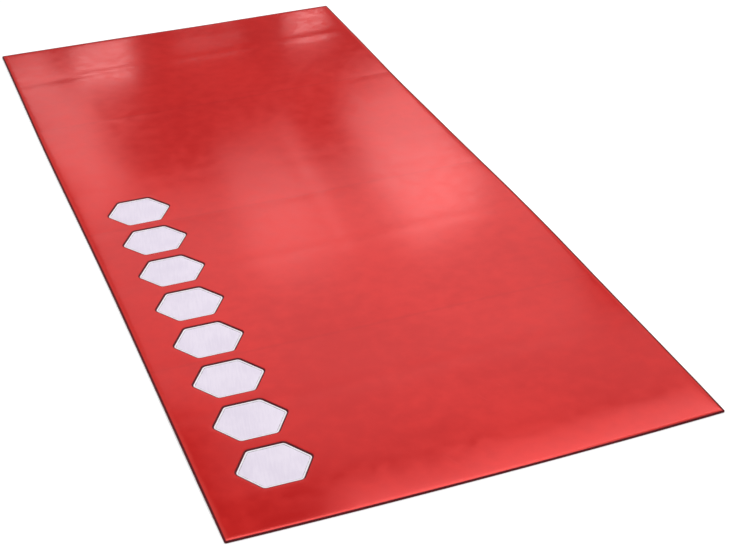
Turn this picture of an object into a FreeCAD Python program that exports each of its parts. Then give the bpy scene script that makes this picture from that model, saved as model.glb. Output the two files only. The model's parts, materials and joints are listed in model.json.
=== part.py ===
import FreeCAD, Part
import os

import Sketcher

# A folding floor mat, laid out flat: a smooth vinyl top cover, a foam core and an anti-slip base cover, welded
# together in a narrow sealed rim, with a row of sunk hexagonal inlays along its left side.
#
# Millimetres. The origin is the centre of the footprint, on the floor; +X is right, +Y the far end, +Z up.
#
# Four lines across the mat let it fold, always with the top faces turned inwards. They divide it, from the far
# end, into the far flap, the far panel, the spine, the near panel and the near flap. Each flap folds over onto
# its own panel, and then the two panels close over the flaps like a book. The narrow spine is the book's back,
# wide enough for both folded flaps. The hinge axes lie a little above the top face, at hinge_rise.

# Driving sizes, each a word in the spreadsheet.
SIZES = {
    "mat_length": 1800.0,
    "mat_width": 800.0,
    "mat_thickness": 5.0,
    "mat_corner": 2.5,  # radius of the mat's four outer corners
    "top_thickness": 0.8,
    "base_thickness": 0.8,
    "seal_width": 3.0,  # width of the welded rim
    "flap_length": 430.0,  # each end, up to its fold line
    "spine_width": 11.0,  # two thicknesses of mat, and room for them to lie between the panels
    "fold_gap": 0.3,  # between neighbouring pieces at a fold line
    "emblem_inset": 116.0,  # from the mat's left side to the middle of the row of hexagons
    "emblem_pitch": 117.5,  # from one hexagon to the next
    "emblem_width": 120.0,  # across the points, along X
    "emblem_length": 92.0,  # across the flats, along Y
    "emblem_corner": 8.0,  # radius of a hexagon's corners
    "recess_depth": 1.6,  # from the top face down to the inlay
    "inlay_thickness": 0.8,
    "inlay_gap": 0.3,  # between an inlay and the wall of its recess
}

# The hexagon's corners, in half widths along X and half lengths along Y, counter-clockwise.
HEXAGON = ((1.0, 0.0), (0.5, 1.0), (-0.5, 1.0), (-1.0, 0.0), (-0.5, -1.0), (0.5, -1.0))

# Which hexagons lie on which stretch of the mat, counted from the far end. The fold in the middle of the mat
# runs between the first two.
EMBLEMS = {"far_panel": (1,), "near_panel": (2, 3, 4, 5), "near_flap": (6, 7, 8)}

doc = FreeCAD.newDocument("FoldingMat")
sheet = doc.addObject("Spreadsheet::Sheet", "Sizes")
for row, (alias, size) in enumerate(SIZES.items(), start=1):
    sheet.set(f"A{row}", alias)
    sheet.set(f"B{row}", str(size))
    sheet.setAlias(f"B{row}", alias)
doc.recompute()

pieces = []


def cell(alias):
    return f"Sizes.{alias}"


def value(expression):
    """The number that an expression has now, to draw a sketch near its final shape."""
    return float(sheet.evalExpression(expression))


# Places that several pieces share, as expressions on the sheet's cells.
HALF_LENGTH = f"{cell('mat_length')} / 2"
HALF_WIDTH = f"{cell('mat_width')} / 2"
HALF_GAP = f"{cell('fold_gap')} / 2"
FLAP_FOLD = f"({HALF_LENGTH} - {cell('flap_length')})"
SPINE_FOLD = f"{cell('spine_width')} / 2"
RIM_END = f"({HALF_LENGTH} - {cell('seal_width')})"
COVER_LEFT = f"({cell('seal_width')} - {HALF_WIDTH})"
COVER_WIDTH = f"({cell('mat_width')} - 2 * {cell('seal_width')})"
CORE_THICKNESS = f"({cell('mat_thickness')} - {cell('top_thickness')} - {cell('base_thickness')})"
TOP_UNDERSIDE = f"({cell('mat_thickness')} - {cell('top_thickness')})"
INLAY_UNDERSIDE = f"({cell('mat_thickness')} - {cell('recess_depth')} - {cell('inlay_thickness')})"
CORE_POCKET = f"({TOP_UNDERSIDE} - {INLAY_UNDERSIDE})"

# Each stretch of the mat: the Y of its near edge and of its far edge.
STRETCHES = {
    "far_flap": (f"({FLAP_FOLD} + {HALF_GAP})", RIM_END),
    "far_panel": (f"({SPINE_FOLD} + {HALF_GAP})", f"({FLAP_FOLD} - {HALF_GAP})"),
    "spine": (f"({HALF_GAP} - {SPINE_FOLD})", f"({SPINE_FOLD} - {HALF_GAP})"),
    "near_panel": (f"({HALF_GAP} - {FLAP_FOLD})", f"(-({SPINE_FOLD}) - {HALF_GAP})"),
    "near_flap": (f"(-({RIM_END}))", f"(-({FLAP_FOLD}) - {HALF_GAP})"),
}


def emblem_x():
    return f"({cell('emblem_inset')} - {HALF_WIDTH})"


def emblem_y(number):
    return f"({1.5 - number} * {cell('emblem_pitch')})"


def place(piece, x, y, z):
    """Bind a piece's own corner or centre to a place on the mat."""
    for axis, expression in (("x", x), ("y", y), ("z", z)):
        piece.setExpression(f"Placement.Base.{axis}", expression)


def block(label, corner, size):
    """A rectangular solid from its low corner and its size along X, Y and Z."""
    piece = doc.addObject("Part::Box", label)
    piece.Label = label
    for side, expression in zip(("Length", "Width", "Height"), size):
        piece.setExpression(side, expression)
    place(piece, *corner)
    pieces.append(piece)


def new_body(label, x, y, z):
    body = doc.addObject("PartDesign::Body", label)
    body.Label = label
    place(body, x, y, z)
    pieces.append(body)
    return body


def flat_sketch(body, name, height="0"):
    """A sketch parallel to the body's own XY plane, at a height above it."""
    ground = next(f for f in body.Origin.OriginFeatures if f.Role == "XY_Plane")
    sketch = body.newObject("Sketcher::SketchObject", name)
    sketch.AttachmentSupport = [(ground, "")]
    sketch.MapMode = "FlatFace"
    sketch.setExpression("AttachmentOffset.Base.z", height)
    return sketch


def draw_outline(sketch, corners):
    """A closed outline of straight lines whose corners are pairs of expressions, X then Y."""
    points = [FreeCAD.Vector(value(x), value(y), 0) for x, y in corners]
    ends = points[1:] + points[:1]
    first = sketch.GeometryCount
    last = first + len(points) - 1
    for start, end in zip(points, ends):
        sketch.addGeometry(Part.LineSegment(start, end), False)
    for line in range(first, last + 1):
        following = line + 1 if line < last else first
        sketch.addConstraint(Sketcher.Constraint("Coincident", line, 2, following, 1))
    for line, corner, point in zip(range(first, last + 1), corners, points):
        for kind, expression, distance in zip(("DistanceX", "DistanceY"), corner, point):
            constraint = sketch.addConstraint(Sketcher.Constraint(kind, -1, 1, line, 1, distance))
            sketch.setExpression(f"Constraints[{constraint}]", expression)


def draw_rectangle(sketch, width, length):
    """A rectangle from the sketch's origin."""
    draw_outline(sketch, (("0", "0"), (width, "0"), (width, length), ("0", length)))


def draw_hexagon(sketch, x, y, inset="0"):
    """One hexagon about a centre, drawn smaller by the inset on each side."""
    half_width = f"({cell('emblem_width')} / 2 - {inset})"
    half_length = f"({cell('emblem_length')} / 2 - {inset})"
    corners = [(f"{x} + {across} * {half_width}", f"{y} + {along} * {half_length}") for across, along in HEXAGON]
    draw_outline(sketch, corners)


def pad(body, sketch, thickness):
    feature = body.newObject("PartDesign::Pad", f"{body.Label}_pad")
    feature.Profile = sketch
    feature.setExpression("Length", thickness)
    sketch.Visibility = False
    doc.recompute()
    return feature


def upright_edges(feature, is_wanted):
    """Names of a feature's vertical edges whose place, from its own body's corner, passes the test."""
    names = []
    for number, edge in enumerate(feature.Shape.Edges, start=1):
        low, high = edge.BoundBox.ZMin, edge.BoundBox.ZMax
        place_in_plan = edge.BoundBox.Center
        is_upright = high - low > 0.1 and edge.Length < high - low + 0.001
        if is_upright and is_wanted(place_in_plan):
            names.append(f"Edge{number}")
    return names


def round_edges(body, feature, names, radius):
    fillet = body.newObject("PartDesign::Fillet", f"{body.Label}_corners")
    fillet.Base = (feature, names)
    fillet.setExpression("Radius", radius)
    doc.recompute()


def sheet_layer(label, stretch, underside, thickness, pocket_depth):
    """One layer of one stretch of the mat, with a pocket from its top face at every hexagon on it."""
    near, far = STRETCHES[stretch]
    body = new_body(label, COVER_LEFT, near, underside)
    outline = flat_sketch(body, f"{label}_outline")
    draw_rectangle(outline, COVER_WIDTH, f"({far} - {near})")
    layer = pad(body, outline, thickness)
    if stretch not in EMBLEMS:
        return

    windows = flat_sketch(body, f"{label}_windows", thickness)
    for number in EMBLEMS[stretch]:
        draw_hexagon(windows, f"({emblem_x()} - {COVER_LEFT})", f"({emblem_y(number)} - {near})")
    doc.recompute()
    pocket = body.newObject("PartDesign::Pocket", f"{label}_pocket")
    pocket.Profile = windows
    pocket.setExpression("Length", pocket_depth)
    windows.Visibility = False
    doc.recompute()
    if pocket.Shape.Volume > layer.Shape.Volume - 1.0:
        raise RuntimeError(f"the pocket in {label} cuts nothing")

    cover_width = value(COVER_WIDTH)
    inner = upright_edges(pocket, lambda spot: 1.0 < spot.x < cover_width - 1.0)
    round_edges(body, pocket, inner, cell("emblem_corner"))


def inlay(number):
    """One white plate, in the bottom of its recess."""
    body = new_body(f"emblem_inlay_{number}", emblem_x(), emblem_y(number), INLAY_UNDERSIDE)
    outline = flat_sketch(body, f"inlay_{number}_outline")
    draw_hexagon(outline, "0", "0", cell("inlay_gap"))
    plate = pad(body, outline, cell("inlay_thickness"))
    corners = upright_edges(plate, lambda spot: True)
    round_edges(body, plate, corners, f"{cell('emblem_corner')} - {cell('inlay_gap')}")


def end_seal(label, near, outer_side):
    """The rim across one end, with the mat's two rounded corners; outer_side is 1 at the far end, else 0."""
    body = new_body(label, f"(-{HALF_WIDTH})", near, "0")
    outline = flat_sketch(body, f"{label}_outline")
    draw_rectangle(outline, cell("mat_width"), cell("seal_width"))
    rim = pad(body, outline, cell("mat_thickness"))
    outer_y = outer_side * SIZES["seal_width"]
    outer = upright_edges(rim, lambda spot: abs(spot.y - outer_y) < 0.01)
    round_edges(body, rim, outer, cell("mat_corner"))


def stretch_of_mat(stretch):
    """The three layers and the two side seals of one stretch."""
    near, far = STRETCHES[stretch]
    length = f"({far} - {near})"
    seal = cell("seal_width")
    sheet_layer(f"{stretch}_top_cover", stretch, TOP_UNDERSIDE, cell("top_thickness"), cell("top_thickness"))
    sheet_layer(f"{stretch}_foam_core", stretch, cell("base_thickness"), CORE_THICKNESS, CORE_POCKET)
    block(f"{stretch}_base_cover", (COVER_LEFT, near, "0"), (COVER_WIDTH, length, cell("base_thickness")))
    seal_size = (seal, length, cell("mat_thickness"))
    block(f"{stretch}_left_seal", (f"(-{HALF_WIDTH})", near, "0"), seal_size)
    block(f"{stretch}_right_seal", (f"({HALF_WIDTH} - {seal})", near, "0"), seal_size)


for stretch_name in STRETCHES:
    stretch_of_mat(stretch_name)
end_seal("far_end_seal", RIM_END, 1)
end_seal("near_end_seal", f"(-({HALF_LENGTH}))", 0)
for numbers in EMBLEMS.values():
    for emblem_number in numbers:
        inlay(emblem_number)

doc.recompute()
for thing in doc.Objects:
    if "Invalid" in thing.State or "Error" in thing.State:
        raise RuntimeError(f"{thing.Label} failed: {thing.State}")

os.makedirs("parts", exist_ok=True)
for piece in pieces:
    if piece.Shape.isNull() or not piece.Shape.isValid():
        raise RuntimeError(f"{piece.Label} has no valid shape")
    piece.Shape.exportStep(f"parts/{piece.Label}.step")
print(f"{len(pieces)} pieces, {sum(piece.Shape.Volume for piece in pieces) / 1000:.0f} cubic centimetres")
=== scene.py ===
import json
import math
from collections import namedtuple

import bpy
import numpy as np
from mathutils import Matrix, Vector
from mathutils.geometry import delaunay_2d_cdt

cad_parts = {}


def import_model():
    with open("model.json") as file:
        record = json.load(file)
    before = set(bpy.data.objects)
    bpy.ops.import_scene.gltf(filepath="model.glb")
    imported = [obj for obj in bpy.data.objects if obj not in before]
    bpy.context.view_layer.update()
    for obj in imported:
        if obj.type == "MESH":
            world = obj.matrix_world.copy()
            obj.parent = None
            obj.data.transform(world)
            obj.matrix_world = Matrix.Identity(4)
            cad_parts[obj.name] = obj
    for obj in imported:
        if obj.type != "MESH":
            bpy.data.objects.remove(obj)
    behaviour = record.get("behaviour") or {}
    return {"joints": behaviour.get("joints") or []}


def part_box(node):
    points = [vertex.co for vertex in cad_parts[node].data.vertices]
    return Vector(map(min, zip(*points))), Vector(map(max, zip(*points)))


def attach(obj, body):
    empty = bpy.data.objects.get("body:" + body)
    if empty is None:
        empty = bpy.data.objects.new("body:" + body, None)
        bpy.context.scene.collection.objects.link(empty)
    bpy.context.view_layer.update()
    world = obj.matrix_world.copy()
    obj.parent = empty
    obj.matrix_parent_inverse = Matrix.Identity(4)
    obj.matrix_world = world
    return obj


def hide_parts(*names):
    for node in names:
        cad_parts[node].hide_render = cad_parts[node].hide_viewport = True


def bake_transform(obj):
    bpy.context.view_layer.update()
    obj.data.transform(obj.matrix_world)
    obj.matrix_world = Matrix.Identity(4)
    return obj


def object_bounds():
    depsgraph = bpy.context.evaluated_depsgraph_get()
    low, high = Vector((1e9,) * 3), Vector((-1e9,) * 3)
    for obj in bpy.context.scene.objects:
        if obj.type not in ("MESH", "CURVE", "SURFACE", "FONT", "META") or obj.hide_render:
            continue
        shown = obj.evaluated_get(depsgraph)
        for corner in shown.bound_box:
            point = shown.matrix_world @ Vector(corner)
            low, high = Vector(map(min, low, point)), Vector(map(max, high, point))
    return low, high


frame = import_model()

# A folding floor mat, laid out flat. Metres; +X right, +Y the far end, +Z up, the origin on the floor.
# Each layer of the mat is made in four stretches, each of which reaches over one fold: the far flap and the
# far panel beyond the middle of the mat, the near panel and the near flap on this side of it.

MM = 0.001
PLAN_MAP = "mat_plan"

# ---------------------------------------------------------------------------------------------------------
# Sizes, from the frame
# ---------------------------------------------------------------------------------------------------------

CAD_LOW, CAD_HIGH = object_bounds()
TOP = CAD_HIGH.z
HINGE = {joint["name"]: Vector(joint["pos_m"]) for joint in frame["joints"]}
FLAP_FOLD = HINGE["far_flap_fold"].y
SPINE_FOLD = HINGE["centre_fold_far"].y

COVER_LOW, COVER_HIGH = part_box("near_panel_top_cover")
COVER_THICKNESS = COVER_HIGH.z - COVER_LOW.z
COVER_SIDE = COVER_HIGH.x
COVER_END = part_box("far_end_seal")[0].y
RIM_WIDTH = CAD_HIGH.x - COVER_SIDE
BASE_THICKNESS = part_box("near_panel_base_cover")[1].z

EMBLEMS = {"far_panel": (1,), "near_panel": (2, 3, 4, 5), "near_flap": (6, 7, 8)}
INLAY_GAP = 0.3 * MM
INLAY_LOW, INLAY_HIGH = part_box("emblem_inlay_1")
HEXAGON_CORNER = 8 * MM
HEXAGON_HALF_LENGTH = (INLAY_HIGH.y - INLAY_LOW.y) / 2 + INLAY_GAP
ROUNDING_PASSES = 5


def sharp_half_width(rounded):
    """Half the hexagon's width before its corners are rounded, from its half width after that."""
    half = rounded
    for _ in range(ROUNDING_PASSES):
        side = math.hypot(half / 2, HEXAGON_HALF_LENGTH)
        half = rounded + HEXAGON_CORNER * (side / HEXAGON_HALF_LENGTH - 1)
    return half


HEXAGON_HALF_WIDTH = sharp_half_width((INLAY_HIGH.x - INLAY_LOW.x) / 2 + INLAY_GAP)

# How far either side of a hinge line the layers bend.
FLAP_BEND = 2.5 * MM
SPINE_BEND = 2 * SPINE_FOLD
BEND_ROWS = 20
SEAM = FLAP_FOLD - FLAP_BEND

# Each stretch of the mat: its far and near edge, and the bend: the body before it, the body after it, and
# where it starts and ends. From the body before to the body after, a flap turns about +X at either end of the
# mat, so a full half turn goes the same way round the fold at both.
Stretch = namedtuple("Stretch", "far near before after bend_start bend_end")
STRETCHES = {
    "far_flap": Stretch(COVER_END, SEAM, "far_panel", "far_flap", SEAM, FLAP_FOLD + FLAP_BEND),
    "far_panel": Stretch(SEAM, 0.0, "far_panel", "spine", SPINE_BEND, 0.0),
    "near_panel": Stretch(0.0, -SEAM, "near_panel", "spine", -SPINE_BEND, 0.0),
    "near_flap": Stretch(-SEAM, -COVER_END, "near_flap", "near_panel", -FLAP_FOLD - FLAP_BEND, -SEAM),
}
# The CAD parts whose layers each stretch stands for.
CAD_PARTS = {
    "far_flap": ("far_flap",),
    "far_panel": ("far_panel", "spine"),
    "near_panel": ("near_panel", "spine"),
    "near_flap": ("near_flap",),
}

# ---------------------------------------------------------------------------------------------------------
# The shape of the mat: soft creases, a slight bow of its edges, and sunk hexagons
# ---------------------------------------------------------------------------------------------------------

# Creases across the mat: where each crosses the middle, how much it slants, its depth and its half width.
CROSS_CREASES = (
    (0.722, 0.020, 0.50 * MM, 17 * MM),
    (FLAP_FOLD, 0.000, 0.14 * MM, 15 * MM),
    (0.149, -0.012, 0.10 * MM, 18 * MM),
    (0.000, 0.000, 0.22 * MM, 16 * MM),
    (-0.198, 0.015, 0.25 * MM, 16 * MM),
    (-FLAP_FOLD, 0.000, 0.20 * MM, 20 * MM),
    (-0.616, -0.010, 0.20 * MM, 16 * MM),
)
# Each wanders a little to either side, and its depth comes and goes. Both are waves across the mat, in
# radians per metre, and their phase depends on the crease's place, so that no two wander alike.
CREASE_WANDER = 2 * MM
WANDER_RATE, WANDER_PHASE = 11, 40
DEPTH_RATE, DEPTH_PHASE = 9, 30
DEPTH_SWING = 0.2
# Between its folds each panel is faintly arched.
PANEL_EDGES = (-COVER_END, -FLAP_FOLD, 0.0, FLAP_FOLD, COVER_END)
PANEL_ARCH = 0.7 * MM
# The crease along the mat runs from right of the middle at the far end to the middle at the near end. It
# falls gently from its left, and rises steeply and then ever more gently to its right.
LONG_CREASE_PLACE = 0.043
LONG_CREASE_SLANT = 0.084
LONG_CREASE_DEPTH = 1.6 * MM
LONG_CREASE_LEFT = 180 * MM
LONG_CREASE_RIGHT = 35 * MM
LONG_CREASE_WANDER_RATE = 7
# It has this share of its depth at the middle of the mat, and more, by the slope, for each metre towards the
# far end, but no less than the least share. Over its last stretch at either end it fades to the end share.
LONG_CREASE_SHARE = 0.7
LONG_CREASE_SHARE_SLOPE = 0.6
LONG_CREASE_LEAST_SHARE = 0.25
LONG_CREASE_END_SHARE = 0.3
LONG_CREASE_END_FADE = 90 * MM
# Over its last stretch the near end slopes down to the floor, ever more steeply.
NEAR_SLOPE_START = 0.815
NEAR_SLOPE_DROP = 1.7 * MM
NEAR_SLOPE_POWER = 1.4
# Broad swells of the padding: how high, waves per metre across and along, and how far each is shifted.
SWELLS = (
    (0.16 * MM, 1.45, 0.65, 0.10),
    (0.12 * MM, 2.30, -1.10, 0.45),
    (0.08 * MM, -1.70, 2.90, 0.20),
    (0.05 * MM, 4.10, 3.30, 0.70),
)
# The cover rolls down to the sealed rim over its last few millimetres.
EDGE_ROLL_DEPTH = 0.55 * MM
EDGE_ROLL_WIDTH = 2.2 * MM


def cross_creases(x, y):
    depth = np.zeros_like(x)
    for place, slant, deep, half in CROSS_CREASES:
        off = y - place - slant * x - CREASE_WANDER * np.sin(WANDER_RATE * x + WANDER_PHASE * place)
        swing = 1 - DEPTH_SWING + DEPTH_SWING * np.cos(DEPTH_RATE * x + DEPTH_PHASE * place)
        depth += deep * swing * np.exp(-((off / half) ** 2))
    return depth


def long_crease(x, y):
    off = x - LONG_CREASE_PLACE - LONG_CREASE_SLANT * y - CREASE_WANDER * np.sin(LONG_CREASE_WANDER_RATE * y)
    left = np.exp(-((off / LONG_CREASE_LEFT) ** 2))
    right = np.exp(-np.maximum(off, 0) / LONG_CREASE_RIGHT)
    share = np.clip(LONG_CREASE_SHARE + LONG_CREASE_SHARE_SLOPE * y, LONG_CREASE_LEAST_SHARE, 1)
    from_end = COVER_END - np.abs(y)
    end_share = np.clip(LONG_CREASE_END_SHARE + from_end / LONG_CREASE_END_FADE, 0, 1)
    return LONG_CREASE_DEPTH * share * end_share * np.where(off < 0, left, right)


def relief(x, y):
    """How far the top face lies below its flat height."""
    depth = cross_creases(x, y) + long_crease(x, y)
    for low, high in zip(PANEL_EDGES, PANEL_EDGES[1:]):
        across = np.clip((y - low) / (high - low), 0, 1)
        depth -= PANEL_ARCH * np.sin(math.pi * across) ** 2
    for height, across, along, shift in SWELLS:
        depth -= height * np.sin(math.tau * (across * x + along * y + shift))
    end = np.clip((-y - NEAR_SLOPE_START) / (COVER_END - NEAR_SLOPE_START), 0, 1)
    depth += NEAR_SLOPE_DROP * end**NEAR_SLOPE_POWER
    return depth + PANEL_ARCH


def edge_roll(x, y):
    """How far the cover dips towards the rim."""
    side = COVER_SIDE - np.abs(x)
    end = COVER_END - np.abs(y)
    return EDGE_ROLL_DEPTH * (np.exp(-side / EDGE_ROLL_WIDTH) + np.exp(-end / EDGE_ROLL_WIDTH))


# The sides aren't quite straight. They belly to the right on this side of the middle, the right side more
# than the left, and they draw back to the left beyond it. Each has its middle and its half length.
BELLY_PLACE, BELLY_HALF = -0.25, 0.38
BELLY_LEFT_SIDE = 2.0 * MM
BELLY_RIGHT_SIDE = 6.5 * MM
WAIST_PLACE, WAIST_HALF = 0.4, 0.3
WAIST_SHIFT = 2.0 * MM
# The near end bows out by this much at its middle.
NEAR_END_BOW = 6 * MM


def bow(x, y):
    """Where a point of the flat plan lies on the real mat, whose edges aren't quite straight."""
    right_side = (x + CAD_HIGH.x) / (2 * CAD_HIGH.x)
    near_end = np.clip(-y / CAD_HIGH.y, 0, 1)
    belly = np.exp(-(((y - BELLY_PLACE) / BELLY_HALF) ** 2))
    belly_shift = BELLY_LEFT_SIDE + (BELLY_RIGHT_SIDE - BELLY_LEFT_SIDE) * right_side
    waist = np.exp(-(((y - WAIST_PLACE) / WAIST_HALF) ** 2))
    shift_x = belly_shift * belly - WAIST_SHIFT * waist
    shift_y = -NEAR_END_BOW * near_end**2 * (1 - (x / CAD_HIGH.x) ** 2)
    return x + shift_x, y + shift_y


# The hexagon's corners, as shares of half its width and half its length.
HEXAGON = ((1.0, 0.0), (0.5, 1.0), (-0.5, 1.0), (-1.0, 0.0), (-0.5, -1.0), (0.5, -1.0))
CORNER_POINTS = 7


def inner_hexagon():
    """The hexagon moved in by its corner radius, about its own centre, and which way each side faces."""
    half_size = Vector((HEXAGON_HALF_WIDTH, HEXAGON_HALF_LENGTH))
    corners = [Vector(corner) * half_size for corner in HEXAGON]
    outward = []
    for start, end in zip(corners, corners[1:] + corners[:1]):
        side = (end - start).normalized()
        outward.append(Vector((side.y, -side.x)))
    inner = []
    for number, corner in enumerate(corners):
        before, after = outward[number - 1], outward[number]
        bisector = (before + after).normalized()
        inner.append(corner - bisector * (HEXAGON_CORNER / bisector.dot(after)))
    return inner, outward


INNER_HEXAGON, SIDE_OUTWARD = inner_hexagon()


def hexagon_ring(centre, offset):
    """The rounded outline, moved out by an offset, as points counter-clockwise."""
    points = []
    for number, corner in enumerate(INNER_HEXAGON):
        start = math.atan2(SIDE_OUTWARD[number - 1].y, SIDE_OUTWARD[number - 1].x)
        end = math.atan2(SIDE_OUTWARD[number].y, SIDE_OUTWARD[number].x)
        turn = (end - start) % math.tau
        for step in range(CORNER_POINTS):
            angle = start + turn * step / (CORNER_POINTS - 1)
            reach = HEXAGON_CORNER + offset
            points.append((centre[0] + corner.x + reach * math.cos(angle),
                           centre[1] + corner.y + reach * math.sin(angle)))
    return points


def hexagon_distance(x, y, centre):
    """Distance from the rounded outline, negative inside it."""
    nearest = np.full(x.shape, np.inf)
    inside = np.full(x.shape, -np.inf)
    corners = INNER_HEXAGON[1:] + INNER_HEXAGON[:1]
    for start, end, outward in zip(INNER_HEXAGON, corners, SIDE_OUTWARD):
        from_x = x - centre[0] - start.x
        from_y = y - centre[1] - start.y
        side = end - start
        along = np.clip((from_x * side.x + from_y * side.y) / side.length_squared, 0, 1)
        nearest = np.minimum(nearest, np.hypot(from_x - along * side.x, from_y - along * side.y))
        inside = np.maximum(inside, from_x * outward.x + from_y * outward.y)
    return np.where(inside > 0, nearest, inside) - HEXAGON_CORNER


def emblem_centre(number):
    low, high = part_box(f"emblem_inlay_{number}")
    return (low.x + high.x) / 2, (low.y + high.y) / 2


def emblem_centres(stretch):
    return [emblem_centre(number) for number in EMBLEMS.get(stretch, ())]


# The cover round a recess: distance from the outline, and depth below the face.
RECESS_PROFILE = (
    (3.2 * MM, 0.00 * MM),
    (2.2 * MM, 0.05 * MM),
    (1.3 * MM, 0.18 * MM),
    (0.7 * MM, 0.45 * MM),
    (0.25 * MM, 0.90 * MM),
    (0.0 * MM, 1.40 * MM),
    (-0.15 * MM, 2.35 * MM),
)
# How far out from the outline the dark maroon painted shade shows.
RECESS_SHADE_REACH = 2.0 * MM


def recess(x, y, centres):
    """How far the cover is pressed down at the marks."""
    depth = np.zeros_like(x)
    distances, depths = zip(*reversed(RECESS_PROFILE))
    for centre in centres:
        depth += np.interp(hexagon_distance(x, y, centre), distances, depths)
    return depth


# ---------------------------------------------------------------------------------------------------------
# Meshes
# ---------------------------------------------------------------------------------------------------------


# How far apart the points of each layer's grid are, and those along the rim.
TOP_STEP = 8.5 * MM
HIDDEN_STEP = 20 * MM
RIM_STEP = 12 * MM
# Extra rows and columns of points, so far in from the cover's edge, where it rolls down to the rim.
EDGE_INSETS = (1.5 * MM, 3.5 * MM)
# The grid stops this far from the rings of points round a hexagon.
RING_CLEARANCE = 2.5 * MM
SAME_PLACE = 1e-6
# The triangulation fills the whole outline of its points, and merges points closer than this.
EVERY_TRIANGLE = 0
MERGE_DISTANCE = 1e-7


def spaced(start, end, step):
    """Places from start to end, about a step apart."""
    count = max(1, round(abs(end - start) / step))
    return list(np.linspace(start, end, count + 1))


def bend_range(stretch):
    """Y where a stretch's bend begins and ends, the lower one first."""
    return sorted((STRETCHES[stretch].bend_start, STRETCHES[stretch].bend_end))


def row_places(stretch, step):
    """Y of the rows of points over a stretch, close together where it bends."""
    far, near = STRETCHES[stretch].far, STRETCHES[stretch].near
    bend_low, bend_high = bend_range(stretch)
    rows = spaced(near, bend_low, step) if bend_low - near > SAME_PLACE else [near]
    rows += list(np.linspace(bend_low, bend_high, BEND_ROWS + 1))
    rows += spaced(bend_high, far, step) if far - bend_high > SAME_PLACE else [far]
    if far == COVER_END:
        rows += [far - inset for inset in EDGE_INSETS]
    if near == -COVER_END:
        rows += [near + inset for inset in EDGE_INSETS]
    return sorted({round(float(row), 6) for row in rows})


def column_places(step):
    """X of the columns of points."""
    columns = spaced(-COVER_SIDE, COVER_SIDE, step)
    for inset in EDGE_INSETS:
        columns += [COVER_SIDE - inset, inset - COVER_SIDE]
    return sorted({round(float(column), 6) for column in columns})


def row_edges(stretch, y, keep, columns):
    """Edges along the rows of the bend, so that no triangle reaches over several rows and cuts it short."""
    bend_low, bend_high = bend_range(stretch)
    bending = (y > bend_low - SAME_PLACE) & (y < bend_high + SAME_PLACE)
    number = np.cumsum(keep) - 1
    edges = []
    for i in range(len(y) - 1):
        same_row = (i + 1) % columns != 0
        if same_row and keep[i] and keep[i + 1] and bending[i]:
            edges.append((int(number[i]), int(number[i + 1])))
    return edges


def plan_mesh(stretch, step, ring_offsets):
    """Points and triangles over one stretch, in plan, with rings of points round each hexagon."""
    columns, rows = column_places(step), row_places(stretch, step)
    x, y = (grid.ravel() for grid in np.meshgrid(columns, rows))
    keep = np.ones(x.shape, bool)
    centres = emblem_centres(stretch)
    for centre in centres:
        distance = hexagon_distance(x, y, centre)
        outside = distance > max(ring_offsets) + RING_CLEARANCE
        inside = distance < min(ring_offsets) - RING_CLEARANCE
        keep &= outside | inside
    points = [Vector((px, py)) for px, py in zip(x[keep], y[keep])]
    edges = row_edges(stretch, y, keep, len(columns))
    for centre in centres:
        for offset in ring_offsets:
            first = len(points)
            ring = hexagon_ring(centre, offset)
            points += [Vector(p) for p in ring]
            edges += [(first + i, first + (i + 1) % len(ring)) for i in range(len(ring))]
    flat, _, faces, *_ = delaunay_2d_cdt(points, edges, [], EVERY_TRIANGLE, MERGE_DISTANCE)
    plan = np.array([(p.x, p.y) for p in flat])
    return plan, [tuple(face) for face in faces]


def boundary_edges(faces):
    """The directed edges that only one face uses."""
    directed = {(face[i], face[(i + 1) % len(face)]) for face in faces for i in range(len(face))}
    return [(a, b) for a, b in directed if (b, a) not in directed]


def mesh_object(name, points, faces, plan, materials):
    """A smooth mesh with a UV map in metres of the flat mat."""
    mesh = bpy.data.meshes.new(name)
    mesh.from_pydata([tuple(p) for p in points], [], faces)
    layer = mesh.uv_layers.new(name=PLAN_MAP)
    loops = np.zeros(len(mesh.loops), int)
    mesh.loops.foreach_get("vertex_index", loops)
    layer.data.foreach_set("uv", np.asarray(plan, float)[loops].ravel())
    mesh.shade_smooth()
    for material in materials:
        mesh.materials.append(material)
    obj = bpy.data.objects.new(name, mesh)
    bpy.context.scene.collection.objects.link(obj)
    return obj


def slab(name, plan, faces, upper, lower, materials):
    """A closed sheet between two heights over the same plan."""
    count = len(plan)
    x, y = bow(plan[:, 0], plan[:, 1])
    points = np.concatenate([np.stack([x, y, upper], 1), np.stack([x, y, lower], 1)])
    every = list(faces) + [tuple(count + i for i in reversed(face)) for face in faces]
    outline = boundary_edges(faces)
    every += [(b, a, a + count, b + count) for a, b in outline]
    rim_edges = {tuple(sorted(edge)) for edge in outline}
    obj = mesh_object(name, points, every, np.concatenate([plan, plan]), materials)
    for edge in obj.data.edges:
        a, b = edge.vertices
        if tuple(sorted((a % count, b % count))) in rim_edges and (a < count) == (b < count):
            edge.use_edge_sharp = True
    return obj


def bend(obj, stretch, *nodes):
    """Bake a finished piece's transform into its mesh, and hide the nodes of its layer that it stands for."""
    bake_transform(obj)
    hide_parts(*nodes)


def layer_nodes(stretch, layer):
    """The CAD nodes that one layer of a stretch replaces."""
    return [f"{part}_{layer}" for part in CAD_PARTS[stretch]]


# The cover has this share of its CAD solid's thickness. Where it is pressed down, it stays clear of the base.
COVER_SHARE = 0.95
COVER_CLEARANCE = 0.2 * MM
# The foam stays clear of the base too, and keeps a least thickness under the sunk marks.
FOAM_CLEARANCE = 0.05 * MM
FOAM_LEAST = 0.1 * MM
# Rings of points in the foam round each of its pockets, and in the base below it.
FOAM_RINGS = (1.6 * MM, 0.0, -0.15 * MM)
BASE_RINGS = (0.0,)


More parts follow.
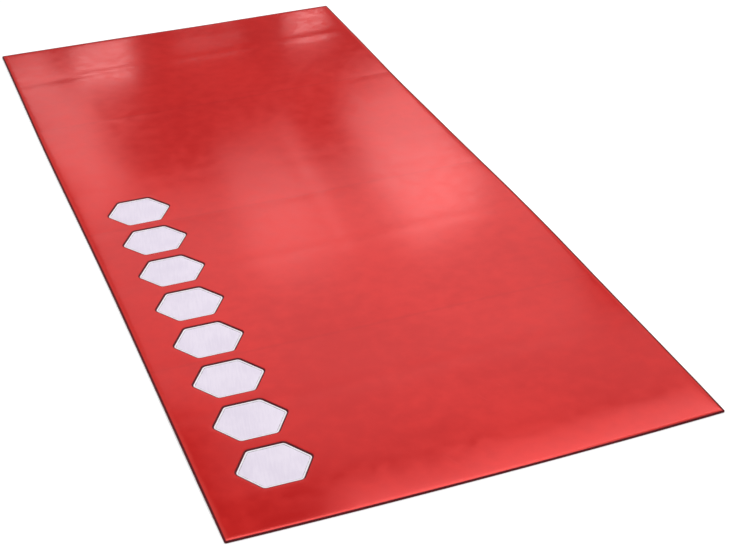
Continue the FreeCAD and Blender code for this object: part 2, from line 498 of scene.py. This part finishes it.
def top_cover(stretch, red, recess_shade_material):
    """The vinyl cover, with a recess pressed into it at each mark."""
    plan, faces = plan_mesh(stretch, TOP_STEP, [distance for distance, depth in RECESS_PROFILE])
    x, y = plan[:, 0], plan[:, 1]
    centres = emblem_centres(stretch)
    upper = TOP - relief(x, y) - edge_roll(x, y) - recess(x, y, centres)
    lower = np.maximum(upper - COVER_SHARE * COVER_THICKNESS, BASE_THICKNESS + COVER_CLEARANCE)
    obj = slab(f"{stretch}_top", plan, faces, upper, lower, [red, recess_shade_material])
    mark_recess_shade(obj, plan, centres)
    bend(obj, stretch, *layer_nodes(stretch, "top_cover"))
    return obj


def mark_recess_shade(obj, plan, centres):
    """On the upper face, the wall of each recess and a little round it take the second material, a dark
    maroon painted shade.
    """
    if not centres:
        return
    distance = np.min([hexagon_distance(plan[:, 0], plan[:, 1], centre) for centre in centres], axis=0)
    for polygon in obj.data.polygons:
        upper_face = max(polygon.vertices) < len(plan)
        if upper_face and np.mean([distance[vertex] for vertex in polygon.vertices]) < RECESS_SHADE_REACH:
            polygon.material_index = 1


def foam_core(stretch, foam):
    """The padding under the cover, with a pocket below each recess."""
    plan, faces = plan_mesh(stretch, HIDDEN_STEP, FOAM_RINGS)
    x, y = plan[:, 0], plan[:, 1]
    upper = TOP - COVER_THICKNESS - relief(x, y) - edge_roll(x, y) - recess(x, y, emblem_centres(stretch))
    lower = np.full(x.shape, BASE_THICKNESS + FOAM_CLEARANCE)
    upper = np.maximum(upper, lower + FOAM_LEAST)
    obj = slab(f"{stretch}_foam", plan, faces, upper, lower, [foam])
    bend(obj, stretch, *layer_nodes(stretch, "foam_core"))
    return obj


def base_cover(stretch, base):
    """The flat sheet that grips the floor."""
    plan, faces = plan_mesh(stretch, HIDDEN_STEP, BASE_RINGS)
    upper = np.full(len(plan), BASE_THICKNESS)
    lower = np.zeros(len(plan))
    obj = slab(f"{stretch}_base", plan, faces, upper, lower, [base])
    bend(obj, stretch, *layer_nodes(stretch, "base_cover"))
    return obj


def tube_faces(around, rings):
    """Faces between rings of points that follow each other, closed by a face at either end."""
    faces = []
    for ring in range(rings - 1):
        for i in range(around):
            a, b = ring * around + i, ring * around + (i + 1) % around
            faces.append((a, b, b + around, a + around))
    faces.append(tuple(reversed(range(around))))
    faces.append(tuple(range((rings - 1) * around, rings * around)))
    return faces


# The sealed rim's section, outwards from the cover's edge and up from the floor, as shares of its size.
RIM_SECTION = (
    (0.00, 0.88), (0.14, 0.85), (0.30, 0.90), (0.48, 0.955), (0.66, 0.95), (0.82, 0.88), (0.94, 0.76),
    (1.00, 0.58), (1.00, 0.38), (0.97, 0.20), (0.88, 0.07), (0.70, 0.00), (0.00, 0.00),
)


def rim_strip(name, path, outward, material):
    """A closed strip of the rim's section along a path in plan."""
    section = np.array(RIM_SECTION) * (RIM_WIDTH, TOP)
    points, uvs = [], []
    travelled = 0.0
    for number, (place, normal) in enumerate(zip(path, outward)):
        if number:
            travelled += math.dist(place, path[number - 1])
        for reach, height in section:
            x = np.array([place[0] + normal[0] * reach])
            y = np.array([place[1] + normal[1] * reach])
            sunk = height * (1 - relief(x, y)[0] / TOP)
            bowed_x, bowed_y = bow(x, y)
            points.append((bowed_x[0], bowed_y[0], sunk))
            uvs.append((travelled, reach + height))
    return mesh_object(name, points, tube_faces(len(section), len(path)), uvs, [material])


# The rim's turn round each corner of the mat: how many points it has, and how far short of it the side stops.
RIM_CORNER_POINTS = 7
RIM_CORNER_CLEARANCE = 4 * MM


def side_path(stretch, side):
    """A straight run along one side; side is 1 on the right and -1 on the left."""
    rows = row_places(stretch, RIM_STEP)
    return [(side * COVER_SIDE, y) for y in rows], [(side, 0.0)] * len(rows)


def end_path(stretch):
    """Out along the left side, round the end and back along the right side, with its two corners."""
    end = 1 if stretch == "far_flap" else -1
    rows = [y for y in row_places(stretch, RIM_STEP) if abs(y) < COVER_END - RIM_CORNER_CLEARANCE]
    outwards = rows if end > 0 else rows[::-1]
    path = [(-COVER_SIDE, y) for y in outwards]
    outward = [(-1.0, 0.0)] * len(path)
    for side in (-1, 1):
        for step in range(RIM_CORNER_POINTS):
            share = step / (RIM_CORNER_POINTS - 1)
            angle = math.radians(90) * (share if side < 0 else 1 - share)
            path.append((side * COVER_SIDE, end * COVER_END))
            outward.append((side * math.cos(angle), end * math.sin(angle)))
        if side < 0:
            across = spaced(-COVER_SIDE, COVER_SIDE, RIM_STEP)[1:-1]
            path += [(x, end * COVER_END) for x in across]
            outward += [(0.0, float(end))] * len(across)
    path += [(COVER_SIDE, y) for y in outwards[::-1]]
    outward += [(1.0, 0.0)] * len(outwards)
    return path, outward


def rim(stretch, material):
    """One strip round the end of a flap, or a strip along each side of a panel."""
    left, right = layer_nodes(stretch, "left_seal"), layer_nodes(stretch, "right_seal")
    if stretch.endswith("flap"):
        end_seal = stretch.replace("flap", "end_seal")
        strips = {f"{stretch}_rim": (end_path(stretch), [*left, *right, end_seal])}
    else:
        strips = {
            f"{stretch}_left_rim": (side_path(stretch, -1), left),
            f"{stretch}_right_rim": (side_path(stretch, 1), right),
        }
    for name, ((path, outward), nodes) in strips.items():
        strip = rim_strip(name, path, outward, material)
        bend(strip, stretch, *nodes)


# The inlay: distance from the recess's outline, and height above the floor.
INLAY_PROFILE = (
    (-0.60 * MM, 2.66 * MM),
    (-0.60 * MM, 3.10 * MM),
    (-0.80 * MM, 3.50 * MM),
    (-1.20 * MM, 3.72 * MM),
    (-2.00 * MM, 3.72 * MM),
    (-2.60 * MM, 3.50 * MM),
    (-3.00 * MM, 3.20 * MM),
    (-3.30 * MM, 2.90 * MM),
    (-4.20 * MM, 2.88 * MM),
    (-5.00 * MM, 3.00 * MM),
)
# How many strips of that profile, from the outside in, are the border and the groove.
BORDER_STRIPS = 6
GROOVE_STRIPS = 2
# Rings over the field, as shares of its size, and how much higher its middle is than its edge.
FIELD_SHARES = (0.8, 0.55, 0.3, 0.1)
FIELD_CROWN = 0.12 * MM


def inlay(number, body, border, groove, field):
    """One white plate with a raised border, a fine groove inside it and a faintly crowned field."""
    centre = emblem_centre(number)
    rings = [(hexagon_ring(centre, offset), height) for offset, height in INLAY_PROFILE]
    innermost, field_height = rings[-1]
    for share in FIELD_SHARES:
        shrunk = [(centre[0] + share * (px - centre[0]), centre[1] + share * (py - centre[1]))
                  for px, py in innermost]
        rings.append((shrunk, field_height + FIELD_CROWN * (1 - share)))
    around = len(innermost)
    plan = np.array([point for ring, height in rings for point in ring])
    heights = np.repeat([height for ring, height in rings], around)
    sunk = relief(plan[:, 0], plan[:, 1])
    x, y = bow(plan[:, 0], plan[:, 1])
    points = np.stack([x, y, heights - sunk], 1)
    faces = tube_faces(around, len(rings))
    obj = mesh_object(f"inlay_{number}", points, faces, plan, [field, border, groove])
    # The groove's strips take a grey that is painted shade.
    border_end = BORDER_STRIPS * around
    groove_end = border_end + GROOVE_STRIPS * around
    # The border's strips take a white that is partly a painted highlight.
    for polygon in obj.data.polygons[:groove_end]:
        polygon.material_index = 1 if polygon.index < border_end else 2
    underside = obj.data.polygons[-2]
    underside.use_smooth = False
    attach(obj, body)
    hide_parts(f"emblem_inlay_{number}")


# ---------------------------------------------------------------------------------------------------------
# Materials
# ---------------------------------------------------------------------------------------------------------


# The values of a noise texture mostly lie between these.
NOISE_RANGE = (0.3, 0.7)
# A wave texture has this many bands per metre at a scale of 1.
BANDS_PER_SCALE = 20 / math.tau


class Finish:
    """A procedural material: its shader, and short ways to add the nodes that feed it.

    Textures are placed by the flat mat's own plan, in metres, so they follow every fold.
    """

    def __init__(self, name, colour, **constants):
        self.material = bpy.data.materials.new(name)
        self.material.use_nodes = True
        self.material.diffuse_color = (*colour, 1.0)
        self.tree = self.material.node_tree
        self.shader = self.tree.nodes["Principled BSDF"]
        for socket, value in constants.items():
            self.shader.inputs[socket.replace("_", " ")].default_value = value
        place = self.tree.nodes.new("ShaderNodeUVMap")
        place.uv_map = PLAN_MAP
        self.plan = place.outputs["UV"]

    def node(self, kind, settings, inputs):
        """A new node: its settings, and its input sockets set to values or linked to other sockets."""
        made = self.tree.nodes.new(kind)
        for setting, value in settings.items():
            setattr(made, setting, value)
        for socket, value in inputs.items():
            if isinstance(value, bpy.types.NodeSocket):
                self.tree.links.new(value, made.inputs[socket])
            else:
                made.inputs[socket].default_value = value
        return made

    def feed(self, socket, source):
        self.tree.links.new(source, self.shader.inputs[socket])

    def math(self, operation, first, second=0.0):
        return self.node("ShaderNodeMath", {"operation": operation}, {0: first, 1: second}).outputs[0]

    def plus(self, value, other, share):
        """A value plus a share of another one."""
        return self.math("ADD", value, self.math("MULTIPLY", other, share))

    def mixture(self, first, second, share):
        """A weighted mean of two values, with this share of the second one."""
        return self.plus(self.math("MULTIPLY", first, 1 - share), second, share)

    def stretched(self, across, along, turn=0.0):
        """The plan turned, then scaled unevenly."""
        inputs = {"Vector": self.plan, "Rotation": (0.0, 0.0, turn), "Scale": (across, along, 1.0)}
        return self.node("ShaderNodeMapping", {"vector_type": "TEXTURE"}, inputs).outputs[0]

    def noise(self, per_metre, detail=2.0, place=None):
        """Soft clouds, of about so many to the metre, with finer ones on top for each step of detail."""
        inputs = {"Vector": place or self.plan, "Scale": per_metre, "Detail": detail}
        return self.node("ShaderNodeTexNoise", {}, inputs).outputs["Fac"]

    def cells(self, per_metre, feature="F1"):
        """Round bumps, about so many to the metre: the distance from each one's middle."""
        inputs = {"Vector": self.plan, "Scale": per_metre}
        return self.node("ShaderNodeTexVoronoi", {"feature": feature}, inputs).outputs["Distance"]

    def waves(self, pitch, turn=0.0):
        """Straight ridges, one in each pitch, across X turned by an angle."""
        place = self.stretched(1.0, 1.0, turn) if turn else self.plan
        inputs = {"Vector": place, "Scale": 1 / (BANDS_PER_SCALE * pitch)}
        settings = {"wave_type": "BANDS", "bands_direction": "X", "wave_profile": "SIN"}
        return self.node("ShaderNodeTexWave", settings, inputs).outputs["Fac"]

    def fade(self, value, start, end, low=0.0, high=1.0):
        """Smoothly from low, where the value is at start, to high, where it is at end."""
        inputs = {"Value": value, "From Min": start, "From Max": end, "To Min": low, "To Max": high}
        return self.node("ShaderNodeMapRange", {"interpolation_type": "SMOOTHSTEP"}, inputs).outputs[0]

    def between(self, low, high, noise):
        """A value that runs from low to high as a noise does over its usual range."""
        return self.fade(noise, *NOISE_RANGE, low, high)

    def blend(self, share, first, second):
        """A mix of two colours, which are sockets or triples."""
        inputs = {0: share}
        for socket, colour in ((6, first), (7, second)):
            inputs[socket] = colour if isinstance(colour, bpy.types.NodeSocket) else (*colour, 1.0)
        return self.node("ShaderNodeMix", {"data_type": "RGBA"}, inputs).outputs[2]

    def relief(self, *layers):
        """Bump from several heights, each with its depth in metres."""
        normal = None
        for height, depth in layers:
            inputs = {"Height": height, "Distance": depth}
            if normal is not None:
                inputs["Normal"] = normal
            normal = self.node("ShaderNodeBump", {}, inputs).outputs["Normal"]
        self.feed("Normal", normal)

    def coordinates(self):
        """X and Y on the flat mat."""
        split = self.node("ShaderNodeSeparateXYZ", {}, {0: self.plan})
        return split.outputs[0], split.outputs[1]

    def from_edge(self):
        """Distance in from the nearest edge of the cover."""
        across, along = self.coordinates()
        side = self.math("SUBTRACT", COVER_SIDE, self.math("ABSOLUTE", across))
        end = self.math("SUBTRACT", COVER_END, self.math("ABSOLUTE", along))
        return self.math("MINIMUM", side, end)

    def from_fold(self):
        """Distance from the nearest fold across the mat."""
        along = self.math("ABSOLUTE", self.coordinates()[1])
        flap = self.math("ABSOLUTE", self.math("SUBTRACT", along, FLAP_FOLD))
        return self.math("MINIMUM", along, flap)


# How the vinyl takes the light: a lacquered face with pigment in the lacquer, which tints its gloss.
VINYL_GLOSS = {"Metallic": 0.16, "Specular_IOR_Level": 0.40, "Specular_Tint": (1.0, 0.40, 0.40, 1.0)}
VINYL_RED = (0.65, 0.021, 0.018)
VINYL_DEEP = (0.55, 0.015, 0.014)
VINYL_WORN = (0.72, 0.052, 0.045)
VINYL_FOLD_DARK = (0.33, 0.012, 0.014)
# MAROON is painted shade on the recess walls, and in part on the side of the rim.
MAROON = (0.100, 0.002, 0.006)
MAROON_WORN = (0.150, 0.012, 0.018)
# WHITE is partly the border's own colour and partly a painted highlight where the border catches the light.
WHITE = (0.88, 0.85, 0.89)
WHITE_DULL = (0.70, 0.66, 0.70)
LAVENDER = (0.78, 0.71, 0.82)
LAVENDER_DEEP = (0.72, 0.65, 0.77)
# A grey that is painted shade in the inlay's groove.
GROOVE_SHADE_GREY = (0.42, 0.38, 0.44)
FOAM_PALE = (0.62, 0.60, 0.55)
FOAM_SHADE = (0.40, 0.38, 0.33)
RUBBER = (0.022, 0.021, 0.023)
RUBBER_DUSTY = (0.060, 0.056, 0.055)


def red_vinyl():
    """Embossed vinyl with a pebbled grain, rubbed edges, darker along its folds and faint scuffs."""
    finish = Finish("red_vinyl", VINYL_RED, **VINYL_GLOSS)
    mottle = finish.noise(38.0, detail=4.0)
    tone = finish.mixture(finish.noise(2.4, detail=3.0), mottle, share=0.35)
    colour = finish.blend(finish.fade(tone, 0.35, 0.65), VINYL_DEEP, VINYL_RED)
    streaks = finish.noise(1.0, detail=5.0, place=finish.stretched(1 / 170, 1 / 14, math.radians(24)))
    scuffs = finish.fade(streaks, 0.66, 0.80)
    colour = finish.blend(finish.math("MULTIPLY", scuffs, 0.20), colour, VINYL_WORN)
    ragged_edge = finish.plus(finish.from_edge(), mottle, 8 * MM)
    rubbed = finish.fade(ragged_edge, 4 * MM, 12 * MM, low=0.8, high=0.0)
    colour = finish.blend(rubbed, colour, VINYL_WORN)
    # Darker along each fold across the mat.
    ragged_fold = finish.plus(finish.from_fold(), mottle, 5 * MM)
    fold_darkening = finish.fade(ragged_fold, 1.5 * MM, 9 * MM, low=0.16, high=0.0)
    finish.feed("Base Color", finish.blend(fold_darkening, colour, VINYL_FOLD_DARK))
    finish.feed("Roughness", finish.plus(finish.between(0.115, 0.165, mottle), scuffs, 0.06))
    waviness = (finish.noise(9.0, detail=1.0), 0.16 * MM)
    grain = (finish.cells(950.0, "SMOOTH_F1"), 0.018 * MM)
    pebbles = (finish.noise(3100.0), 0.005 * MM)
    finish.relief(waviness, grain, pebbles)
    return finish.material


def recess_shade_vinyl():
    """Painted shade: the wall of each recess in a dark maroon that stands in for the shade inside it."""
    finish = Finish("recess_shade_vinyl", MAROON, Specular_IOR_Level=0.15)
    mottle = finish.noise(120.0, detail=4.0)
    finish.feed("Base Color", finish.blend(finish.fade(mottle, 0.4, 0.8), MAROON, MAROON_WORN))
    finish.feed("Roughness", finish.between(0.40, 0.55, mottle))
    finish.relief((finish.noise(700.0, detail=3.0), 0.03 * MM))
    return finish.material


def rim_vinyl_and_shade():
    """The sealed rim: fine ribs from the welding wheel, worn pale along their tops. Its dark maroon is partly
    the seal's own darker colour and partly painted shade on its side.
    """
    finish = Finish("rim_vinyl_and_shade", MAROON, Specular_IOR_Level=0.1)
    ribs = finish.waves(1.8 * MM)
    wear = finish.noise(60.0, detail=4.0)
    rib_tops = finish.fade(ribs, 0.4, 1.0, low=0.3)
    share = finish.math("MULTIPLY", finish.fade(wear, 0.45, 0.75), rib_tops)
    finish.feed("Base Color", finish.blend(share, MAROON, MAROON_WORN))
    finish.feed("Roughness", finish.between(0.40, 0.55, wear))
    finish.relief((ribs, 0.06 * MM), (finish.noise(1500.0), 0.01 * MM))
    return finish.material


def inlay_border_and_highlight():
    """The plate's raised white border: clean soft plastic with a little grime, whiter than the field partly
    as its own colour and partly as a painted highlight.
    """
    finish = Finish("inlay_border_and_highlight", WHITE, Specular_IOR_Level=0.5)
    grime = finish.noise(90.0, detail=5.0)
    finish.feed("Base Color", finish.blend(finish.fade(grime, 0.50, 0.85, high=0.6), WHITE, WHITE_DULL))
    finish.feed("Roughness", finish.between(0.28, 0.42, grime))
    finish.relief((finish.noise(900.0, detail=3.0), 0.012 * MM))
    return finish.material


def inlay_field():
    """The plate's lavender white field, embossed with a fine canvas and faintly streaked."""
    finish = Finish("inlay_field", LAVENDER, Specular_IOR_Level=0.4)
    streaks = finish.noise(1.0, detail=4.0, place=finish.stretched(1 / 300, 1 / 30, math.radians(-12)))
    clouds = finish.noise(22.0, detail=3.0)
    tone = finish.fade(finish.mixture(streaks, clouds, share=0.5), 0.35, 0.65)
    finish.feed("Base Color", finish.blend(tone, LAVENDER_DEEP, LAVENDER))
    finish.feed("Roughness", finish.between(0.38, 0.50, clouds))
    warp = finish.waves(0.9 * MM)
    weft = finish.waves(0.9 * MM, turn=math.radians(90))
    finish.relief((finish.math("MULTIPLY", warp, weft), 0.04 * MM))
    return finish.material


def inlay_groove_shade():
    """The fine groove between border and field, greyed as painted shade, with a mottle towards dull white."""
    finish = Finish("inlay_groove_shade", GROOVE_SHADE_GREY, Specular_IOR_Level=0.3)
    groove_mottle = finish.noise(140.0, detail=4.0)
    finish.feed("Base Color", finish.blend(finish.fade(groove_mottle, 0.35, 0.7), GROOVE_SHADE_GREY, WHITE_DULL))
    finish.feed("Roughness", finish.between(0.50, 0.65, groove_mottle))
    finish.relief((finish.noise(900.0), 0.02 * MM))
    return finish.material


def foam():
    """Open-cell foam: small pores, each with a darker pit of painted shade."""
    finish = Finish("foam", FOAM_PALE, Specular_IOR_Level=0.2)
    pores = finish.cells(620.0)
    clouds = finish.noise(25.0, detail=3.0)
    pits = finish.fade(finish.plus(pores, clouds, 0.3), 0.2, 0.7)
    finish.feed("Base Color", finish.blend(pits, FOAM_SHADE, FOAM_PALE))
    finish.feed("Roughness", finish.fade(pores, 0.0, 0.8, low=0.98, high=0.85))
    finish.relief((pores, 0.4 * MM), (finish.noise(2400.0, detail=3.0), 0.08 * MM))
    return finish.material


def base_vinyl():
    """The dark underside: a diamond lattice that grips the floor, with dust on its tops."""
    finish = Finish("base_vinyl", RUBBER, Specular_IOR_Level=0.35)
    one_way = finish.waves(4.0 * MM, turn=math.radians(45))
    other_way = finish.waves(4.0 * MM, turn=math.radians(-45))
    lattice = finish.math("MAXIMUM", one_way, other_way)
    dusty = finish.fade(finish.noise(6.0, detail=5.0), 0.42, 0.68)
    dust_on_tops = finish.math("MULTIPLY", dusty, finish.fade(lattice, 0.5, 1.0))
    finish.feed("Base Color", finish.blend(dust_on_tops, RUBBER, RUBBER_DUSTY))
    finish.feed("Roughness", finish.between(0.55, 0.72, finish.noise(45.0, detail=3.0)))
    finish.relief((lattice, 0.25 * MM), (finish.noise(1800.0), 0.03 * MM))
    return finish.material


# The floor reaches this far each way, and lies just under the mat so that the two faces aren't in one plane.
FLOOR_HALF = 30.0
FLOOR_DROP = 0.2 * MM
FLOOR_WHITE = (0.97, 0.97, 0.97, 1.0)
FLOOR_GLOW = 0.12


def pale_floor():
    """A plain matt floor, with a faint even glow that keeps it pale far from the light."""
    material = bpy.data.materials.new("pale_floor")
    material.use_nodes = True
    shader = material.node_tree.nodes["Principled BSDF"]
    shader.inputs["Base Color"].default_value = FLOOR_WHITE
    shader.inputs["Roughness"].default_value = 0.9
    shader.inputs["Specular IOR Level"].default_value = 0.2
    shader.inputs["Emission Color"].default_value = (1.0, 1.0, 1.0, 1.0)
    shader.inputs["Emission Strength"].default_value = FLOOR_GLOW
    return material


RED = red_vinyl()
RECESS_SHADE = recess_shade_vinyl()
RIM = rim_vinyl_and_shade()
BORDER = inlay_border_and_highlight()
GROOVE = inlay_groove_shade()
FIELD = inlay_field()
FOAM = foam()
BASE = base_vinyl()

for stretch, place in STRETCHES.items():
    cover = top_cover(stretch, RED, RECESS_SHADE)
    core = foam_core(stretch, FOAM)
    under = base_cover(stretch, BASE)
    rim(stretch, RIM)
for body, numbers in EMBLEMS.items():
    for number in numbers:
        inlay(number, body, BORDER, GROOVE, FIELD)

# ---------------------------------------------------------------------------------------------------------
# Floor, camera and light
# ---------------------------------------------------------------------------------------------------------


def floor():
    mesh = bpy.data.meshes.new("floor")
    corners = [(x * FLOOR_HALF, y * FLOOR_HALF, 0) for x, y in ((-1, -1), (1, -1), (1, 1), (-1, 1))]
    mesh.from_pydata(corners, [], [(0, 1, 2, 3)])
    obj = bpy.data.objects.new("floor", mesh)
    obj.location.z = -FLOOR_DROP
    mesh.materials.append(pale_floor())
    bpy.context.scene.collection.objects.link(obj)


CAMERA_PLACE = Vector((-0.774, -2.460, 1.414))
CAMERA_AIM = Vector((0.0342, -0.3121, 0.0))
CAMERA_ROLL = math.radians(-0.92)
CAMERA_FIELD = math.radians(26.97)
SENSOR_WIDTH_MM = 36.0


def camera():
    data = bpy.data.cameras.new("camera")
    data.sensor_width = SENSOR_WIDTH_MM
    data.angle = CAMERA_FIELD
    data.dof.use_dof = False
    obj = bpy.data.objects.new("camera", data)
    look = (CAMERA_AIM - CAMERA_PLACE).to_track_quat("-Z", "Y")
    obj.location = CAMERA_PLACE
    obj.rotation_euler = (look.to_matrix() @ Matrix.Rotation(CAMERA_ROLL, 3, "Z")).to_euler()
    bpy.context.scene.collection.objects.link(obj)
    bpy.context.scene.camera = obj


def softbox(name, place, axes, width, height, radiance):
    """A rectangular light at a place, with the matrix of its own axes; it shines along its own -Z."""
    data = bpy.data.lights.new(name, "AREA")
    data.shape = "RECTANGLE"
    data.size = width
    data.size_y = height
    data.energy = radiance * math.pi * width * height
    obj = bpy.data.objects.new(name, data)
    obj.location = place
    obj.rotation_euler = axes.to_euler()
    obj.visible_camera = False
    bpy.context.scene.collection.objects.link(obj)


def mirrored(point):
    """The direction in which a flat mat at this point mirrors the camera's line of sight."""
    sight = (point - CAMERA_PLACE).normalized()
    return Vector((sight.x, sight.y, -sight.z))


def gloss_card(name, centre, along, width, distance, radiance):
    """A softbox whose reflection lies round a point of the mat; along is half the reflection's length."""
    middle = Vector((*centre, 0.0))
    away = mirrored(middle)

    def mapped(offset):
        """Where the mirrored sight line at an offset from the middle meets the card's plane."""
        point = middle + Vector((*offset, 0.0))
        ray = mirrored(point)
        return point + ray * ((middle + away * distance - point).dot(away) / ray.dot(away))

    half = Vector(along)
    across = half.orthogonal().normalized() * (width / 2)
    long_side = mapped(half) - mapped(-half)
    wide_side = mapped(across) - mapped(-across)
    place = (mapped(half) + mapped(-half)) / 2
    if long_side.length > wide_side.length:
        y_axis = long_side.normalized()
        x_axis = y_axis.cross(away)
    else:
        x_axis = wide_side.normalized()
        y_axis = away.cross(x_axis)
    axes = Matrix((x_axis, y_axis, away)).transposed()
    softbox(name, place, axes, abs(wide_side.dot(x_axis)), abs(long_side.dot(y_axis)), radiance)


def world(strength):
    scene_world = bpy.data.worlds.new("studio")
    bpy.context.scene.world = scene_world
    scene_world.use_nodes = True
    background = scene_world.node_tree.nodes["Background"]
    background.inputs["Color"].default_value = (1.0, 1.0, 1.0, 1.0)
    background.inputs["Strength"].default_value = strength


WORLD_STRENGTH = 0.13
OVERHEAD_PLACE = (0.0, -0.3, 3.2)
OVERHEAD_SIZE = 3.6
OVERHEAD_RADIANCE = 2.95
floor()
camera()
world(WORLD_STRENGTH)
softbox("overhead", OVERHEAD_PLACE, Matrix.Identity(3), OVERHEAD_SIZE, OVERHEAD_SIZE, OVERHEAD_RADIANCE)

# Where each card's reflection lies: its centre, half its length as a vector, its width, and its strength.
CARDS = {
    "right_card": ((0.300, 0.110), (0.050, 0.33), 0.20, 1.75),
    "middle_card": ((-0.025, 0.010), (0.030, 0.28), 0.15, 0.8),
    "left_card": ((-0.350, 0.480), (-0.035, 0.38), 0.14, 1.5),
    "far_left_card": ((-0.190, 0.770), (0.00, 0.13), 0.14, 2.8),
    "far_right_card": ((0.325, 0.840), (0.00, 0.060), 0.10, 4.2),
    "broad_card": ((0.00, -0.240), (0.0, 0.34), 0.90, 1.05),
    "far_end_card": ((0.080, 0.865), (0.06, 0.00), 0.05, 2.0),
    "near_card": ((0.05, -0.700), (0.0, 0.14), 0.85, 0.9),
    "high_card": ((0.14, -1.090), (0.0, 0.16), 0.9, 2.9),
}
CARD_DISTANCE = 3.0
for name, (centre, along, width, radiance) in CARDS.items():
    gloss_card(name, centre, along, width, CARD_DISTANCE, radiance)
bpy.context.scene.view_settings.view_transform = "Standard"
